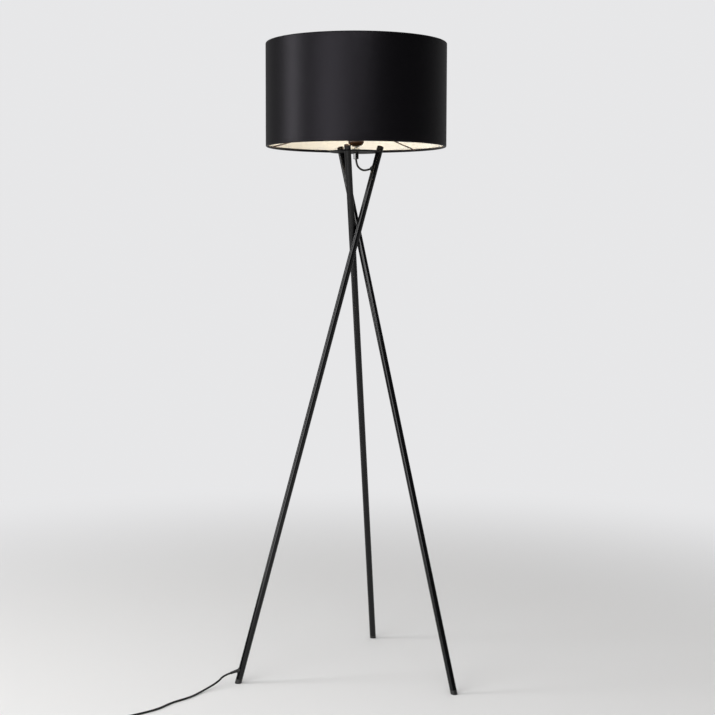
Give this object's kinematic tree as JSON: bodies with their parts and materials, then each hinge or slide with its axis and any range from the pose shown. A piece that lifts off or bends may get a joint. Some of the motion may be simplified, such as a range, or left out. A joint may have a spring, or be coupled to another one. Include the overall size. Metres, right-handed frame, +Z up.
{
  "type": "shaded floor lamp",
  "caption": "Floor lamp on crossed slanting steel tubes, with a wide black drum shade, a lampholder with a bulb, and a mains lead with a foot switch and plug.",
  "frame": {"origin": "on the floor, at the middle of the box round the lamp without its free cord, about 54 mm from the lamp's vertical axis", "axes": "+Z up along the lamp's height, +X to the right and +Y to the rear as seen from the front, where the left foot carries the cord"},
  "size_m": [0.8285, 0.8837, 1.5865],
  "materials": {
    "tube_black": "gloss black powder coat",
    "plate_black": "satin black powder coat",
    "plug_plastic": "black moulded plastic",
    "zinc": "bright zinc plate",
    "clear_grip": "glossy black plastic",
    "cord_black": "black cord sheath",
    "core_brown": "thin core insulation",
    "bush_black": "black rubber",
    "holder_black": "satin black thermoplastic",
    "holder_core_white": "unglazed white ceramic",
    "brass": "plain brass",
    "bulb_opal": "opal white glass",
    "bulb_cap_metal": "rolled aluminium",
    "bulb_black_glass": "black glass insulator",
    "wire_bronze": "dark bronze paint",
    "shade_black": "smooth satin black shade cloth",
    "shade_white": "white laminated lining",
    "switch_black": "fine-textured black plastic",
    "spring_steel": "spring steel wire",
    "plug_black": "black moulded plug",
    "pin_nickel": "nickel plate"
  },
  "bodies": {
    "stand": {"leg_left": "tube_black", "leg_right": "tube_black", "leg_rear": "tube_black", "top_plate": "plate_black", "foot_left": "plug_plastic", "foot_right": "plug_plastic", "foot_rear": "plug_plastic", "leg_caps": "plug_plastic", "nipple": "zinc", "plate_washer": "zinc", "plate_nut": "zinc", "grip_screw": "zinc", "terminal_screws": "zinc", "switch_screws": "zinc", "crossing_studs": "zinc", "cord_grip": "clear_grip", "inner_lead": "cord_black", "cord_to_switch": "cord_black", "cord_to_coil": "cord_black", "cord_coil": "cord_black", "cord_to_plug": "cord_black", "core_wires": "core_brown", "upper_port_bush": "bush_black", "lower_port_bush": "bush_black", "switch_reliefs": "bush_black", "holder_dome": "holder_black", "holder_skirt": "holder_black", "shade_ring_lower": "holder_black", "shade_ring_upper": "holder_black", "holder_core": "holder_core_white", "screw_shell": "brass", "centre_contact": "brass", "switch_base": "switch_black", "switch_cover": "switch_black", "switch_feet": "switch_black", "switch_insert": "switch_black", "coil_tie": "switch_black", "switch_spring": "spring_steel", "plug_body": "plug_black", "plug_pins": "pin_nickel"},
    "shade": {"shade_cover": "shade_black", "shade_lining": "shade_white", "top_ring": "wire_bronze", "spider": "wire_bronze", "fitter_ring": "wire_bronze"},
    "bulb": {"bulb_glass": "bulb_opal", "bulb_cap": "bulb_cap_metal", "bulb_insulator": "bulb_black_glass", "bulb_tip": "brass"},
    "button": {"switch_button": "switch_black"}
  },
  "joints": [
    {"name": "shade_turn", "type": "hinge", "parent": "stand", "child": "shade", "pos_m": [0.03029, -0.04542, 1.3315], "axis": [0, 0, 1], "continuous": true},
    {"name": "bulb_out", "type": "slide", "parent": "stand", "child": "bulb", "axis": [0, 0, 1], "range_m": [0, 0.3]},
    {"name": "button_press", "type": "slide", "parent": "stand", "child": "button", "axis": [0, 0, -1], "range_m": [0, 0.003], "stiffness_N_per_m": 500, "springref_m": -0.002, "deforming": ["switch_spring"]}
  ]
}
